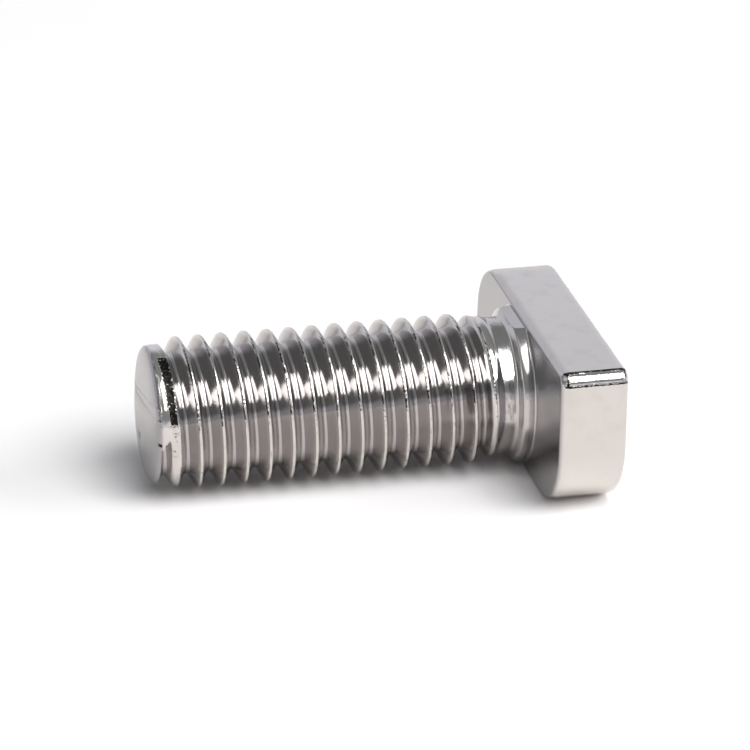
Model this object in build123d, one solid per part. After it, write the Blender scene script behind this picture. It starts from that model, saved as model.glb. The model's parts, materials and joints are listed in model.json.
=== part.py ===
from build123d import *
from build123d.topology import SkipClean
import math
import os

# T slot bolt with a quarter-turn head, M10 x 1.5, lying on its side.
# The bolt's axis is X and the thread points along -X. The origin is on that axis, in the plane of the
# bearing face under the head. The head's long side runs along Y, and +Z is up. Millimetres.

# ---- Driving dimensions -------------------------------------------------------------------------

# Shank, from the bearing face to the tip
shank_length = 25.0
major_diameter = 9.85  # middle of the M10 thread's tolerance
neck_diameter = 9.0  # rolled threads stand proud of the blank they are rolled from
neck_length = 1.4  # plain neck between the head and the run-out
runout_length = 2.13  # over this length the crests rise from the neck to full height
tip_diameter = 8.25
tip_length = 1.8  # length of the tapered tip
root_size = 0.45  # eased corner between the neck and the head

# Thread
pitch = 1.5
groove_depth = 0.92  # to the real minor diameter; the rounded root is drawn as a sharp one
crest_flat = 0.32
groove_clearance = 0.1  # how far the groove tool stands outside the crests
groove_lead_in = 1.07  # how far beyond the tip the groove starts, which sets where the crests fall
groove_rise = 0.7  # how far the groove climbs at its end, which brings it out of the metal
groove_rise_length = 0.9  # the length of shank it climbs over
crest_strips = 6  # the cylinder under the crests is made of this many strips round the axis
first_seam = 17.4  # angle of a seam between two strips, clear of where a crest starts or ends

# Head
head_length = 21.6
head_width = 10.2
head_thickness = 4.4
turning_radius = 4.9  # the two opposite corners that let the head turn a quarter turn in its slot
stop_radius = 0.6  # the two opposite corners that stop it there
outer_edge = 0.25  # eased rim of the outer face

# ---- Values worked out from them ----------------------------------------------------------------

crest_radius = major_diameter / 2
neck_radius = neck_diameter / 2
thread_end = neck_length + runout_length


def threaded_blank():
    """The full-diameter length of the shank with its tapered tip, as strips that keep their seams."""
    strip_angle = 360 / crest_strips
    with BuildSketch(Plane.XZ) as section:
        with BuildLine():
            Polyline(
                (-shank_length, 0),
                (-shank_length, tip_diameter / 2),
                (-shank_length + tip_length, crest_radius),
                (-thread_end, crest_radius),
                (-thread_end, 0),
                close=True,
            )
        make_face()
    strip = revolve(section.sketch, axis=Axis.X, revolution_arc=strip_angle)
    return [strip.rotate(Axis.X, first_seam + strip_angle * i).solid() for i in range(crest_strips)]


def neck():
    """Run-out taper, plain neck and eased root, reaching into the head so that the two fuse."""
    root_outer = neck_radius + root_size
    inside_head = head_thickness / 2
    with BuildSketch(Plane.XZ) as section:
        with BuildLine():
            Polyline(
                (-thread_end, 0),
                (-thread_end, crest_radius),
                (-neck_length, neck_radius),
                (-root_size, neck_radius),
                (0, root_outer),
                (inside_head, root_outer),
                (inside_head, 0),
                close=True,
            )
        make_face()
    return revolve(section.sketch, axis=Axis.X).solid()


def head():
    """Flat bar head: two opposite corners fully rounded, the other two nearly square, rims broken."""
    with BuildPart() as bar:
        with BuildSketch(Plane.YZ) as outline:
            Rectangle(head_length, head_width)
            fillet(outline.vertices().sort_by(lambda v: v.X * v.Y)[-2:], turning_radius)
            fillet(outline.vertices().sort_by(lambda v: v.X * v.Y)[:2], stop_radius)
        extrude(amount=head_thickness)
        chamfer(bar.faces().sort_by(Axis.X)[-1].edges(), outer_edge)
    return bar.part.solid()


def groove():
    """Tool for the thread: its section wound along a right-hand helix, climbing out of the metal at the end."""
    root_radius = crest_radius - groove_depth
    mouth_radius = crest_radius + groove_clearance
    half_width_at_crest = (pitch - crest_flat) / 2
    mouth_half_width = half_width_at_crest * (mouth_radius - root_radius) / groove_depth
    section = [
        (0, root_radius),
        (mouth_half_width, mouth_radius),
        (-mouth_half_width, mouth_radius),
    ]
    start = -shank_length - groove_lead_in
    turns = math.floor((-thread_end - start) / pitch)
    full_depth_end = start + turns * pitch
    rise_angle = math.atan2(groove_rise, groove_rise_length)
    slant_pitch = pitch / math.cos(rise_angle)  # a conical helix is given by its pitch along the slant

    def rising(x, r):
        return Edge.make_helix(
            slant_pitch,
            groove_rise_length,
            r,
            center=(x + full_depth_end, 0, 0),
            normal=(1, 0, 0),
            angle=math.degrees(rise_angle),
        )

    faces = []
    for (x0, r0), (x1, r1) in zip(section, section[1:] + section[:1]):
        side = Face.make_surface_from_curves(
            Edge.make_helix(pitch, pitch, r0, center=(x0, 0, 0), normal=(1, 0, 0)),
            Edge.make_helix(pitch, pitch, r1, center=(x1, 0, 0), normal=(1, 0, 0)),
        )
        faces += [side.translate(Vector(start + pitch * i, 0, 0)) for i in range(turns)]
        faces.append(Face.make_surface_from_curves(rising(x0, r0), rising(x1, r1)))

    first_end = Face(Wire.make_polygon([Vector(x, 0, r) for x, r in section]))
    last_end = Face(Wire.make_polygon([Vector(x, 0, r + groove_rise) for x, r in section]))
    faces.append(first_end.translate(Vector(start, 0, 0)))
    end_turn = 360 * groove_rise_length / pitch
    last_end = last_end.rotate(Axis.X, end_turn)
    faces.append(last_end.translate(Vector(full_depth_end + groove_rise_length, 0, 0)))
    return Solid(Shell(faces))


with SkipClean():  # merging the strips again would turn the crests into one long spiral face
    strips = threaded_blank()
    bolt = strips[0].fuse(*strips[1:], neck(), head())
    bolt = bolt.cut(groove())

os.makedirs("parts", exist_ok=True)
export_step(bolt.solid(), "parts/t_slot_bolt.step")
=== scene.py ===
import json
import math

import bmesh
import bpy
from mathutils import Matrix, Vector, noise


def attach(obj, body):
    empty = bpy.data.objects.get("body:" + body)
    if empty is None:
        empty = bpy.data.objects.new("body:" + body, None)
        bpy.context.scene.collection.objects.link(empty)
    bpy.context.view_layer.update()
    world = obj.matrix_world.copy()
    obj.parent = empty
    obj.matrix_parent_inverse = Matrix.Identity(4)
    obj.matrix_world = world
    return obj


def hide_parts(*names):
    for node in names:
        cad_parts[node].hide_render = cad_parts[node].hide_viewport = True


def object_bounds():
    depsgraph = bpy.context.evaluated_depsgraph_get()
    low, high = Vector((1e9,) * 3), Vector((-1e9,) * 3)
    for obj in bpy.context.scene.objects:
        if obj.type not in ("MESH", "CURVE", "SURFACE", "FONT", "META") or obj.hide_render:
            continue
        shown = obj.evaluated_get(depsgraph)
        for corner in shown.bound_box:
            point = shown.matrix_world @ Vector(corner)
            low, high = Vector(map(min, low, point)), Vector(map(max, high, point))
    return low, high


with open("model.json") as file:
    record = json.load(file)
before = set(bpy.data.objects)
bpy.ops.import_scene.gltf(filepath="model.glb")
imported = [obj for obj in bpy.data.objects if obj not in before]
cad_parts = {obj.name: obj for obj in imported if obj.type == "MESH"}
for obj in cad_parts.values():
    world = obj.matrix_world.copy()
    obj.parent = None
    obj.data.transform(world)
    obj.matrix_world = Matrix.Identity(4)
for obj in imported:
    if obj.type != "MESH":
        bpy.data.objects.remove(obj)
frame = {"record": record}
cad_low, cad_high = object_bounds()

# ---- T slot bolt --------------------------------------------------------------------------------
# A bolt for slotted channel, made in one piece from stainless wire. The head is struck cold from the end
# of a round blank and the thread is rolled onto the shank, and then the bolt is tumbled bright.

MM = 0.001  # the mesh is worked out in millimetres and scaled to metres at the end

mesh = bmesh.new()
groove_depth = mesh.verts.layers.float.new("groove_depth")  # from 0 on a crest to 1 at the bottom of a groove
grime_and_shade_layer = mesh.verts.layers.float.new("grime_and_shade")  # how rough and grimy the metal is, and where dark lines of painted shade go
struck_face = mesh.verts.layers.float.new("struck")  # 1 where a shear or a die has struck it


def smooth(low, high, value):
    """0 below low, 1 above high, and an even curve between them."""
    t = min(max((value - low) / (high - low), 0.0), 1.0)
    return t * t * (3 - 2 * t)


def band(value, start, full, fading, end):
    """Rises from 0 at start to 1 at full, and falls back from fading to 0 at end."""
    return smooth(start, full, value) * (1 - smooth(fading, end, value))


def bell(distance, width):
    """1 at no distance, falling away on both sides over about the width."""
    return math.exp(-((distance / width) ** 2))


# Threaded shank. The dies squeeze the metal up out of the blank to form the crests. The first groove starts
# in the plain land at the tip, and the last one runs out on the thinner neck under the head.

thread = next(m for m in frame["record"]["mounts"] if m["name"] == "thread")
CREST_RADIUS = thread["dims"]["r_mm"]
PITCH = 1.5
GROOVE_DEPTH = 0.64 * PITCH
ROOT_ROUNDING = 0.144 * PITCH
CREST_ROUNDING = 0.06
FLANK = math.radians(30)
FIRST_CREST = -23.82  # where the first crest passes over the top of the shank
GROOVE_START = 0.262  # of a turn round from the top, where the first groove begins
RUN_OUT = (13.5, 14.1)  # turns over which the last groove fades
TIP = cad_low.x / MM
TIP_FACE = TIP + 0.12
TIP_CUT = TIP_FACE + 0.52  # the shank proper ends here and the low dome of the tip begins
LAND_RADIUS = 4.54  # the blank's end, which the dies don't squeeze out to a full crest
NECK_RADIUS = 4.5
NECK_CUT = -1.2  # the neck ends here and the collar begins
AROUND = 216  # points round the shank
TURNS = range(-2, 17)  # enough to reach past both cuts

crest_half = PITCH / 2 - math.tan(FLANK) * (GROOVE_DEPTH + ROOT_ROUNDING)
corner = CREST_ROUNDING * math.tan(FLANK)


def half_section():
    """The thread's section from the middle of a crest to the middle of the root, as (offset, depth)."""
    points = [(0.0, 0.0), (crest_half - corner, 0.0)]
    points.append((crest_half + 0.1 * corner, 0.30 * corner))
    flank_start = (crest_half + corner * math.sin(FLANK), corner * math.cos(FLANK))
    end_depth = GROOVE_DEPTH - ROOT_ROUNDING * (1 - math.sin(FLANK))
    flank_end = (PITCH / 2 - ROOT_ROUNDING * math.cos(FLANK), end_depth)
    for t in (0.0, 0.08, 0.36, 0.68, 1.0):
        offset = flank_start[0] + (flank_end[0] - flank_start[0]) * t
        points.append((offset, flank_start[1] + (flank_end[1] - flank_start[1]) * t))
    for step in range(1, 4):
        angle = FLANK + (math.pi / 2 - FLANK) * step / 3
        offset = PITCH / 2 - ROOT_ROUNDING * math.cos(angle)
        points.append((offset, GROOVE_DEPTH - ROOT_ROUNDING * (1 - math.sin(angle))))
    return points


half = half_section()
section = half + [(PITCH - offset, depth) for offset, depth in reversed(half[1:-1])]


def blank_radius(x):
    """How far out the metal reaches at x: plain land, full crests, and the fall to the neck."""
    tip = LAND_RADIUS - 0.04 * (1 - smooth(TIP_CUT, TIP_CUT + 0.2, x))
    tip += (CREST_RADIUS - LAND_RADIUS) * smooth(-23.8, -22.4, x)
    low_crest = NECK_RADIUS + 0.16
    neck = CREST_RADIUS - (CREST_RADIUS - low_crest) * smooth(-3.9, -2.6, x)
    neck -= (low_crest - NECK_RADIUS) * smooth(-2.4, -2.0, x)
    return min(tip, neck)


def shank_point(turn, offset, depth, angle):
    """Vertex of the thread: turn counts crests from the tip, offset is measured from the crest."""
    turned = angle / (2 * math.pi)
    along = turn + turned
    nearest_crest = along if offset < PITCH / 2 else along + 1
    x = FIRST_CREST + PITCH * along + offset
    past_crest = x - (FIRST_CREST + PITCH * nearest_crest)
    begun = along + 1 - GROOVE_START + 0.05 * (offset - PITCH / 2)
    formed = smooth(-0.006, 0.006, begun) * (1 - smooth(*RUN_OUT, along))
    limit = blank_radius(x)
    radius = min(CREST_RADIUS - depth * formed, limit)
    on_crest = max(0.0, 1 - max(limit - radius, 0) / 0.05)

    # The dies leave the surface a little uneven and the crests serrated, with a seam along their middle.
    # Where the first crest rises from the land, the metal is lapped over and torn.
    out = Vector((0, -math.sin(angle), math.cos(angle)))
    spot = Vector((x, radius * out.y, radius * out.z))
    lapped = band(nearest_crest, 0.02, 0.05, 0.20, 0.24) * band(past_crest, -0.38, -0.30, 0.24, 0.38)
    radius -= 0.005 * (1 + noise.noise(spot * 1.3))
    radius -= (0.008 + 0.04 * lapped) * on_crest * (1 + noise.noise(spot * 5.0))
    if offset == 0.0:
        radius -= 0.07 * on_crest * formed * max(0.0, 0.1 + noise.noise(spot * 3.1))

    vert = mesh.verts.new((x, radius * out.y, radius * out.z))
    vert[groove_depth] = (limit - radius) / GROOVE_DEPTH if formed > 0 else 0.0
    ragged = 0.27 + 0.35 * max(0.0, noise.noise(spot * 0.9 + Vector((7, 3, 1))))
    vert[grime_and_shade_layer] = on_crest * max(formed * ragged, 0.74 * lapped)
    # Painted dark reflection: a ragged dark line along the tip side of each crest, only on the shank's upper
    # front.
    if -crest_half - 1.5 * corner < past_crest < -0.4 * crest_half:
        near_side = band(turned, 0.0, 0.04, 0.20, 0.26)
        painted_dark_crest_edge = formed * near_side * (0.60 + 0.3 * noise.noise(spot * 2.0))
        vert[grime_and_shade_layer] = max(vert[grime_and_shade_layer], painted_dark_crest_edge)
    return vert


rows = []
for turn in TURNS:
    for offset, depth in section:
        rows.append([shank_point(turn, offset, depth, 2 * math.pi * k / AROUND) for k in range(AROUND)])
per_turn = len(section)
for i in range(len(rows) - 1 - per_turn):
    for k in range(AROUND):
        if k < AROUND - 1:
            corners = (rows[i][k], rows[i][k + 1], rows[i + 1][k + 1], rows[i + 1][k])
        else:  # the spiral closes on the row that lies one turn further on
            corners = (rows[i][k], rows[i + per_turn][0], rows[i + per_turn + 1][0], rows[i + 1][k])
        mesh.faces.new(corners)
loose = [v for v in mesh.verts if not v.link_faces]
bmesh.ops.delete(mesh, geom=loose, context="VERTS")


def cut(x, direction):
    """Cuts the shank square at x and drops what lies beyond it on the side that direction points to."""
    everything = mesh.verts[:] + mesh.edges[:] + mesh.faces[:]
    bmesh.ops.bisect_plane(
        mesh,
        geom=everything,
        dist=1e-5,
        plane_co=(x, 0, 0),
        plane_no=(direction, 0, 0),
        clear_outer=True,
    )


def open_loop(x):
    """Edges of the open end at x."""
    return [e for e in mesh.edges if e.is_boundary and all(abs(v.co.x - x) < 1e-4 for v in e.verts)]


def extended(edges, placed):
    """New ring of faces grown from an open end, with each new point put where placed(old point) says."""
    grown = bmesh.ops.extrude_edge_only(mesh, edges=edges)["geom"]
    for vert in [g for g in grown if isinstance(g, bmesh.types.BMVert)]:
        vert.co = placed(vert.co)
    return [g for g in grown if isinstance(g, bmesh.types.BMEdge) and g.is_boundary]


cut(TIP_CUT, -1)
cut(NECK_CUT, 1)

# Tip. The end was cropped from the wire and tumbled to a low dome. The shears left two flats on it that
# meet in a slanting fold, a small hollow in the lower flat, and a nick and a rolled-over edge at the rim.
# Dark lines and spots of painted shade lie along the fold, in the hollow, at the nick and along the upper
# front of the rim.

FACE_SLANT = 0.03  # the foot of the face stands further out than its top
HOLLOW = (1.5, -2.1)
DOME = (
    (0.12, 4.47), (0.29, 4.42), (0.46, 4.34), (0.60, 4.21),
    (0.71, 4.02), (0.81, 3.75), (0.88, 3.40), (0.94, 2.95),
)
FACE_RINGS = 20


def below_upper_fold(y, z):
    """Distance down from the upper edge of the fold."""
    return 1.35 - 0.2 * y - z


def below_lower_fold(y, z):
    """Distance down from the lower edge of the fold."""
    return 0.75 - 0.15 * y - z


def cropped(y, z):
    """How far the cropped face lies behind a plane across the tip at y, z."""
    upper, lower = below_upper_fold(y, z), below_lower_fold(y, z)
    fold = 0.10 * smooth(-0.05, 0.05, upper) * (1 - smooth(-0.1, 0.5, lower))
    ridge = 0.03 * bell(lower, 0.1)
    hollow = 0.16 * bell(y - HOLLOW[0], 0.5) * bell(z - HOLLOW[1], 0.35)
    inside_rim = 1 - smooth(3.6, 4.2, math.hypot(y, z))
    return (fold + ridge + hollow) * inside_rim + FACE_SLANT * (z + 0.4)


def dome_ring(share, radius):
    """Places a ring's points on the way from the cut end, share 0, to the cropped face, share 1."""

    def placed(old):
        out = Vector((0, old.y, old.z)).normalized()
        y, z = radius * out.y, radius * out.z
        face = TIP_FACE + cropped(y, z)
        return Vector((TIP_CUT + (face - TIP_CUT) * share, y, z))

    return placed


rim = open_loop(TIP_CUT)
rim_points = {v for edge in rim for v in edge.verts}
for share, radius in DOME:
    rim = extended(rim, dome_ring(share, radius))
for step in range(1, FACE_RINGS + 1):
    share = 1 - 0.06 * (1 - step / FACE_RINGS) ** 2
    rim = extended(rim, dome_ring(share, DOME[-1][1] - 0.14 * step))
bmesh.ops.contextual_create(mesh, geom=rim)

for vert in mesh.verts:
    x, y, z = vert.co
    vert[struck_face] = 1 - smooth(TIP_CUT - 0.1, TIP_CUT + 0.1, x)
    turned = math.atan2(-y, z) / (2 * math.pi)
    if x < TIP_CUT - 0.01:
        upper = bell(below_upper_fold(y, z), 0.07) * smooth(1.2, 2.0, abs(y - 0.2))
        lower = bell(below_lower_fold(y, z), 0.08)
        hollow = bell(y - HOLLOW[0], 0.55) * bell(z - HOLLOW[1], 0.32)
        at_nick = math.hypot(y, z) > 4.3 and abs(turned - GROOVE_START + 0.004) < 0.0035
        # painted shade along the fold's two edges, in the hollow and at the nick
        vert[grime_and_shade_layer] = max(0.58 * upper, 0.54 * lower, 0.75 * hollow, 0.8 if at_nick else 0.0)
    elif vert in rim_points:
        # painted shade: a dark line along the rim, only on its upper front
        rim_shade_band = band(turned, 0.03, 0.06, 0.175, 0.20)
        vert[grime_and_shade_layer] = rim_shade_band * (0.78 + 0.3 * noise.noise(vert.co * 3.0))

# Neck and collar. Under the head the neck steps up to a low collar, left by the heading die. The head is
# hardly wider than the collar, so the collar is flattened above and below.

COLLAR_RADIUS = 5.1
COLLAR_FLAT = 4.74  # height of the two flats above and below the axis
COLLAR = (
    (-1.15, 4.51), (-1.08, 4.56), (-1.02, 4.65), (-0.84, 4.97), (-0.80, 5.03), (-0.74, 5.07), (-0.66, 5.09),
    (-0.30, COLLAR_RADIUS), (-0.20, COLLAR_RADIUS), (-0.13, 5.09), (-0.08, 5.10), (-0.04, 5.16), (0.0, 5.30),
)


def collar_ring(x, radius):
    """Places a ring's points on the collar at x."""

    def placed(old):
        out = Vector((0, old.y, old.z)).normalized()
        z = max(min(radius * out.z, COLLAR_FLAT), -COLLAR_FLAT)
        return Vector((x, radius * out.y, z))

    return placed


for vert in mesh.verts:
    if vert.co.x > -2.6:
        vert[struck_face] = 0.45 * smooth(-2.6, -2.2, vert.co.x)
collar_foot = open_loop(NECK_CUT)
for x, radius in COLLAR:
    collar_foot = extended(collar_foot, collar_ring(x, radius))
for edge in collar_foot:
    for vert in edge.verts:
        vert[struck_face] = 1.0

# Head. A flat bar with two opposite corners fully rounded, so that it turns a quarter turn in the channel.
# The other two are nearly square and stop it there. Round one of those, thin dark lines are painted along
# the edges of its rounding and across its two ends: painted shade for dark reflections there.

HEAD_TOP = cad_high.x / MM
HALF_LENGTH = cad_high.y / MM
HALF_WIDTH = cad_high.z / MM
TURNING_CORNER = 4.9
FAR_TURNING_CORNER = 4.3
STOP_CORNER = 0.75
EDGE_SHADE_WIDTH = 0.1  # width of the painted dark lines on the flats at either side of that corner
EDGE_SHADE_CORNER = 1  # the corner that has them, counted round from +Y +Z
BEARING_EDGE_RISE = 0.6  # along the bolt
BEARING_EDGE_DROP = 0.28  # across it
TOP_EDGE = 0.35
SIDE_RUNS = 20  # lengths that the straight part of the side is divided into
EDGE_RUNS = 5  # lengths that each rounded edge is divided into


def head_outline():
    """Outline of the bar as (y, z, normal y, normal z, painted edge shade), with straight runs divided
    evenly.
    """
    corners = (
        (HALF_LENGTH, HALF_WIDTH, FAR_TURNING_CORNER, 28),
        (-HALF_LENGTH, HALF_WIDTH, STOP_CORNER, 8),
        (-HALF_LENGTH, -HALF_WIDTH, TURNING_CORNER, 28),
        (HALF_LENGTH, -HALF_WIDTH, STOP_CORNER, 8),
    )
    points = []
    for number, (y, z, radius, steps) in enumerate(corners):
        centre = (y - math.copysign(radius, y), z - math.copysign(radius, z))
        edge_shade_at = {0: 1.0, 1: 0.8, steps: 1.0}
        arc = []
        for step in range(steps + 1):
            angle = math.radians(90 * number + 90 * step / steps)
            ny, nz = math.cos(angle), math.sin(angle)
            edge_shade = edge_shade_at.get(step, 0.1) if number == EDGE_SHADE_CORNER else 0.0
            arc.append((centre[0] + radius * ny, centre[1] + radius * nz, ny, nz, edge_shade))
        if number == EDGE_SHADE_CORNER:
            arc.insert(0, (arc[0][0] + EDGE_SHADE_WIDTH, arc[0][1], 0.0, 1.0, 0.0))
            arc.append((arc[-1][0], arc[-1][1] - EDGE_SHADE_WIDTH, -1.0, 0.0, 0.0))
        points += arc
    filled = []
    for here, there in zip(points, points[1:] + points[:1]):
        filled.append(here)
        gap = math.hypot(there[0] - here[0], there[1] - here[1])
        extra = int(gap / 0.5)
        for step in range(1, extra):
            t = step / extra
            between = (here[0] + (there[0] - here[0]) * t, here[1] + (there[1] - here[1]) * t)
            filled.append(between + (here[2], here[3], 0.0))
    return filled


outline = head_outline()


def head_ring(x, inset):
    """Ring of points round the head at x, set in from the outline."""
    ring = []
    for y, z, ny, nz, edge_shade in outline:
        spot = Vector((x, y - ny * inset, z - nz * inset))
        spot -= Vector((0, ny, nz)) * 0.003 * (1 + noise.noise(spot * 0.35))
        vert = mesh.verts.new(spot)
        vert[struck_face] = 1 - smooth(0.0, 0.2, x)
        if edge_shade > 0:
            # painted shade: dark lines along the rounded corner's edges and across its two ends
            at_ends = bell(x - 0.42, 0.1) + bell(x - HEAD_TOP + 0.25, 0.1)
            painted_edge_shade = max(edge_shade, at_ends) * smooth(0.1, 0.3, x)
            vert[grime_and_shade_layer] = painted_edge_shade * (0.85 + 0.3 * noise.noise(spot * 2.0))
        ring.append(vert)
    return ring


quarter = [math.radians(90 * step / EDGE_RUNS) for step in range(EDGE_RUNS + 1)]
side_length = HEAD_TOP - BEARING_EDGE_RISE - TOP_EDGE
stations = [(BEARING_EDGE_RISE * (1 - math.cos(a)), BEARING_EDGE_DROP * (1 - math.sin(a))) for a in quarter]
stations += [(BEARING_EDGE_RISE + side_length * step / SIDE_RUNS, 0.0) for step in range(1, SIDE_RUNS)]
stations += [(HEAD_TOP - TOP_EDGE * (1 - math.sin(a)), TOP_EDGE * (1 - math.cos(a))) for a in quarter]

head_rings = [head_ring(x, inset) for x, inset in stations]
for low, high in zip(head_rings, head_rings[1:]):
    for k in range(len(outline)):
        after = (k + 1) % len(outline)
        mesh.faces.new((low[k], low[after], high[after], high[k]))
mesh.faces.new(head_rings[-1])
first_ring = head_rings[0]
bearing_rim = [mesh.edges.get(pair) for pair in zip(first_ring, first_ring[1:] + first_ring[:1])]
bmesh.ops.triangle_fill(mesh, edges=bearing_rim + collar_foot, use_beauty=True, normal=(-1, 0, 0))

bmesh.ops.recalc_face_normals(mesh, faces=mesh.faces[:])
for face in mesh.faces:
    face.smooth = True
for edge in mesh.edges:
    edge.smooth = edge.calc_face_angle(0.0) < math.radians(50)
for edge in bearing_rim + collar_foot:
    edge.smooth = False  # keeps the flat bearing face flat in the light
bmesh.ops.scale(mesh, vec=(MM, MM, MM), verts=mesh.verts[:])

# Steel. It mirrors its surroundings through a fine haze. Tumbling doesn't reach into the grooves, which
# stay a little rougher, and they are painted a darker steel as well: painted shade for their depth.
# Grime keeps to the torn metal on the crests and round the tip, and its black also paints the dark lines
# and spots of painted shade on the crests, on the tip and round one corner of the head.

STEEL = (0.67, 0.64, 0.615, 1)
# darker steel for the grooves: painted shade for their depth, and also the tone of random stains
STEEL_GROOVE_SHADE_AND_STAIN = (0.46, 0.44, 0.435, 1)
STEEL_STRUCK = (0.37, 0.36, 0.372, 1)  # faces cropped or struck by a die, left a little frosted
# black for the grime on torn metal and for the lines and spots of painted shade
GRIME_AND_SHADE = (0.02, 0.018, 0.016, 1)

steel = bpy.data.materials.new("tumbled_stainless")
steel.use_nodes = True
tree = steel.node_tree
shader = tree.nodes["Principled BSDF"]
shader.inputs["Metallic"].default_value = 1.0
place = tree.nodes.new("ShaderNodeTexCoord").outputs["Object"]


def cloud(scale, detail):
    """Soft noise over the bolt, scale in features per metre."""
    made = tree.nodes.new("ShaderNodeTexNoise")
    made.inputs["Scale"].default_value = scale
    made.inputs["Detail"].default_value = detail
    tree.links.new(place, made.inputs["Vector"])
    return made.outputs["Fac"]


def painted(name):
    """Value that the bolt's mesh carries from point to point."""
    made = tree.nodes.new("ShaderNodeAttribute")
    made.attribute_name = name
    return made.outputs["Fac"]


def plugged(tree, socket, part):
    """Feeds a socket from another one, or sets it to a plain number or colour."""
    if isinstance(part, bpy.types.NodeSocket):
        tree.links.new(part, socket)
    else:
        socket.default_value = part


def remapped(tree, value, low, high, to_low, to_high):
    """Value mapped from low..high to to_low..to_high, held at the ends."""
    made = tree.nodes.new("ShaderNodeMapRange")
    for name, number in (("From Min", low), ("From Max", high), ("To Min", to_low), ("To Max", to_high)):
        made.inputs[name].default_value = number
    tree.links.new(value, made.inputs["Value"])
    return made.outputs["Result"]


def combined(tree, operation, *parts):
    """All parts put together by one operation, each a socket or a plain number."""
    result = parts[0]
    for part in parts[1:]:
        made = tree.nodes.new("ShaderNodeMath")
        made.operation = operation
        plugged(tree, made.inputs[0], result)
        plugged(tree, made.inputs[1], part)
        result = made.outputs["Value"]
    return result


def blended(tree, a, b, share):
    """Colour a turning to b as share rises from 0 to 1."""
    made = tree.nodes.new("ShaderNodeMix")
    made.data_type = "RGBA"
    for name, part in (("A", a), ("B", b), ("Factor", share)):
        plugged(tree, next(i for i in made.inputs if i.name == name and i.enabled), part)
    return next(o for o in made.outputs if o.enabled)


in_groove = remapped(tree, painted("groove_depth"), 0.06, 0.3, 0.0, 1.0)
struck = painted("struck")
stained = remapped(tree, cloud(900, 5), 0.5, 0.8, 0.0, 0.3)
# painted shade: the grooves turn to the darker steel below the crests; random stains add patches of it
colour = blended(tree, STEEL, STEEL_GROOVE_SHADE_AND_STAIN, combined(tree, "MAXIMUM", in_groove, stained))
colour = blended(tree, colour, STEEL_STRUCK, struck)
# grime on torn metal, and the lines and spots of painted shade, turn the colour to black
grime_and_shade_mask = combined(tree, "SUBTRACT", painted("grime_and_shade"), cloud(6000, 2))
colour = blended(tree, colour, GRIME_AND_SHADE, remapped(tree, grime_and_shade_mask, 0.0, 0.08, 0.0, 1.0))
tree.links.new(colour, shader.inputs["Base Color"])

haze = remapped(tree, cloud(1500, 4), 0.3, 0.7, 0.08, 0.13)
dull_groove = combined(tree, "MULTIPLY", in_groove, 0.01)
frosted = combined(tree, "MULTIPLY", struck, 0.12)
tree.links.new(combined(tree, "ADD", haze, dull_groove, frosted), shader.inputs["Roughness"])

pit_cells = tree.nodes.new("ShaderNodeTexVoronoi")
pit_cells.inputs["Scale"].default_value = 1700
tree.links.new(place, pit_cells.inputs["Vector"])
pit_hollow = remapped(tree, pit_cells.outputs["Distance"], 0.02, 0.14, -1.0, 0.0)
pit_patch = remapped(tree, cloud(420, 2), 0.62, 0.66, 0.0, 1.0)
pits = combined(tree, "MULTIPLY", pit_hollow, pit_patch)
grime_and_shade = combined(tree, "MULTIPLY", cloud(6500, 3), painted("grime_and_shade"), 9.0)
scuffs = combined(tree, "MULTIPLY", cloud(1800, 3), struck, 1.2)
waves = combined(tree, "MULTIPLY", cloud(500, 1), 0.3)
bump = tree.nodes.new("ShaderNodeBump")
bump.inputs["Distance"].default_value = 0.01 * MM
bump.inputs["Strength"].default_value = 1.0
tree.links.new(combined(tree, "ADD", pits, grime_and_shade, waves, scuffs), bump.inputs["Height"])
tree.links.new(bump.outputs["Normal"], shader.inputs["Normal"])

bolt_mesh = bpy.data.meshes.new("t_slot_bolt_finished")
mesh.to_mesh(bolt_mesh)
mesh.free()
bolt_mesh.materials.append(steel)
bolt = bpy.data.objects.new("t_slot_bolt_finished", bolt_mesh)
bpy.context.scene.collection.objects.link(bolt)
even_shading = bolt.modifiers.new("even_shading", "WEIGHTED_NORMAL")
even_shading.keep_sharp = True
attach(bolt, "root")
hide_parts("t_slot_bolt")

# ---- Table top ----------------------------------------------------------------------------------
# A plain white board that the bolt lies on. It is sprayed matt, and wide enough that its edges are never
# in sight. The board gives the steel a slightly warmer white to mirror than the eye sees.

TABLE_REACH = 3.0
TABLE_WHITE = (0.975, 0.96, 0.965, 1)
TABLE_WHITE_IN_STEEL = (0.93, 0.897, 0.88, 1)

table_mesh = bpy.data.meshes.new("table_top")
table_corners = [(-1, -1), (1, -1), (1, 1), (-1, 1)]
table_mesh.from_pydata(
    [(x * TABLE_REACH, y * TABLE_REACH, cad_low.z) for x, y in table_corners],
    [],
    [(0, 1, 2, 3)],
)
table = bpy.data.objects.new("table_top", table_mesh)
bpy.context.scene.collection.objects.link(table)
paint = bpy.data.materials.new("white_table")
paint.use_nodes = True
coats = paint.node_tree
coats.nodes.remove(coats.nodes["Principled BSDF"])
matt = coats.nodes.new("ShaderNodeBsdfDiffuse")
ray = coats.nodes.new("ShaderNodeLightPath")
white = blended(coats, TABLE_WHITE_IN_STEEL, TABLE_WHITE, ray.outputs["Is Camera Ray"])
coats.links.new(white, matt.inputs["Color"])
coats.links.new(matt.outputs["BSDF"], coats.nodes["Material Output"].inputs["Surface"])
table_mesh.materials.append(paint)

# ---- Soft boxes ---------------------------------------------------------------------------------
# Three lamps behind white cloth. The large one stands in front and to the right, high up, and a lower one
# further round to the right throws the soft shadow to the left. A weak one fills in from the left.

BOX_DISTANCE = 0.9


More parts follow.
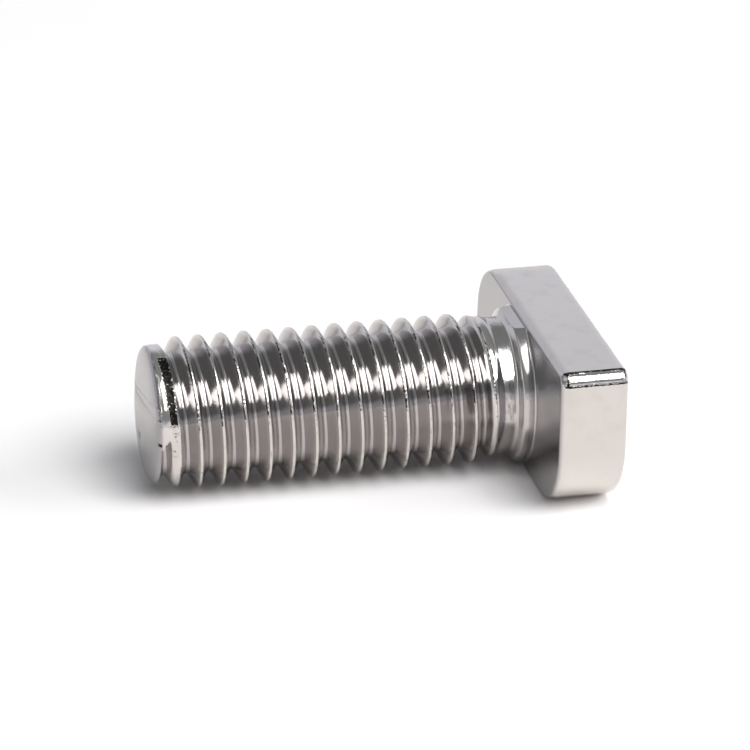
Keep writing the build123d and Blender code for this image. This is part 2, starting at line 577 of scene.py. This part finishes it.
def soft_box(name, azimuth, elevation, size, power):
    """Rectangular soft box aimed at the bolt. Azimuth 0 is the camera's side, turning towards +X."""
    lamp = bpy.data.lights.new(name, "AREA")
    lamp.shape = "RECTANGLE"
    lamp.size, lamp.size_y = size
    lamp.energy = power
    box = bpy.data.objects.new(name, lamp)
    a, e = math.radians(azimuth), math.radians(elevation)
    away = Vector((math.sin(a) * math.cos(e), -math.cos(a) * math.cos(e), math.sin(e)))
    box.location = away * BOX_DISTANCE
    box.rotation_euler = away.to_track_quat("Z", "Y").to_euler()
    bpy.context.scene.collection.objects.link(box)


soft_box("key_box", azimuth=29, elevation=54, size=(0.53, 0.73), power=8.0)
soft_box("right_box", azimuth=74, elevation=27, size=(0.6, 0.5), power=4.6)
soft_box("left_fill", azimuth=-45, elevation=66, size=(0.8, 0.6), power=0.6)

# ---- Room ---------------------------------------------------------------------------------------
# The studio round the table, which the bright steel mirrors. It is pale all round at the height of the
# table and up the wall behind, and dim overhead and behind the camera. The backdrop itself is plain white.

PALE_WALL = (0.81, 0.82, 0.885, 1)
DIM_ROOM = (0.28, 0.294, 0.298, 1)
BACKDROP_WHITE = (1, 1, 1, 1)

world = bpy.data.worlds.new("studio")
bpy.context.scene.world = world
world.use_nodes = True
room = world.node_tree
direction = room.nodes.new("ShaderNodeSeparateXYZ")
room.links.new(room.nodes.new("ShaderNodeTexCoord").outputs["Generated"], direction.inputs["Vector"])
low_down = remapped(room, direction.outputs["Z"], 0.38, 0.64, 1.0, 0.0)
behind = remapped(room, direction.outputs["Y"], -0.2, 0.35, 0.0, 1.0)
by_the_table = remapped(room, direction.outputs["Z"], 0.12, 0.20, 1.0, 0.0)
pale = combined(room, "MAXIMUM", combined(room, "MULTIPLY", low_down, behind), by_the_table)
walls = blended(room, DIM_ROOM, PALE_WALL, pale)
ray = room.nodes.new("ShaderNodeLightPath")
seen = blended(room, walls, BACKDROP_WHITE, ray.outputs["Is Camera Ray"])
looked_at = combined(room, "MAXIMUM", ray.outputs["Is Camera Ray"], ray.outputs["Is Glossy Ray"])
backdrop = room.nodes["Background"]
room.links.new(seen, backdrop.inputs["Color"])
room.links.new(remapped(room, looked_at, 0.0, 1.0, 0.5, 1.0), backdrop.inputs["Strength"])

# ---- Camera -------------------------------------------------------------------------------------
# A long lens in front of the bolt, a little above it and to the side of its tip, so that the shank is seen
# nearly square and the head's near end at a slant.

AZIMUTH, ELEVATION, ROLL = 13.207, 24.055, 0.608
STANDPOINT = Vector((-63.985, -231.952, 107.802)) * MM

lens = bpy.data.cameras.new("camera")
lens.lens = 192.78
lens.sensor_width = 36.0
lens.clip_start = 0.01
lens.clip_end = 20.0
camera = bpy.data.objects.new("camera", lens)
a, e = math.radians(AZIMUTH), math.radians(ELEVATION)
looking = Vector((math.sin(a) * math.cos(e), math.cos(a) * math.cos(e), -math.sin(e)))
levelled = looking.to_track_quat("-Z", "Y").to_matrix().to_4x4()
camera.matrix_world = Matrix.Translation(STANDPOINT) @ levelled @ Matrix.Rotation(math.radians(ROLL), 4, "Z")
bpy.context.scene.collection.objects.link(camera)
bpy.context.scene.camera = camera
bpy.context.scene.view_settings.view_transform = "Standard"
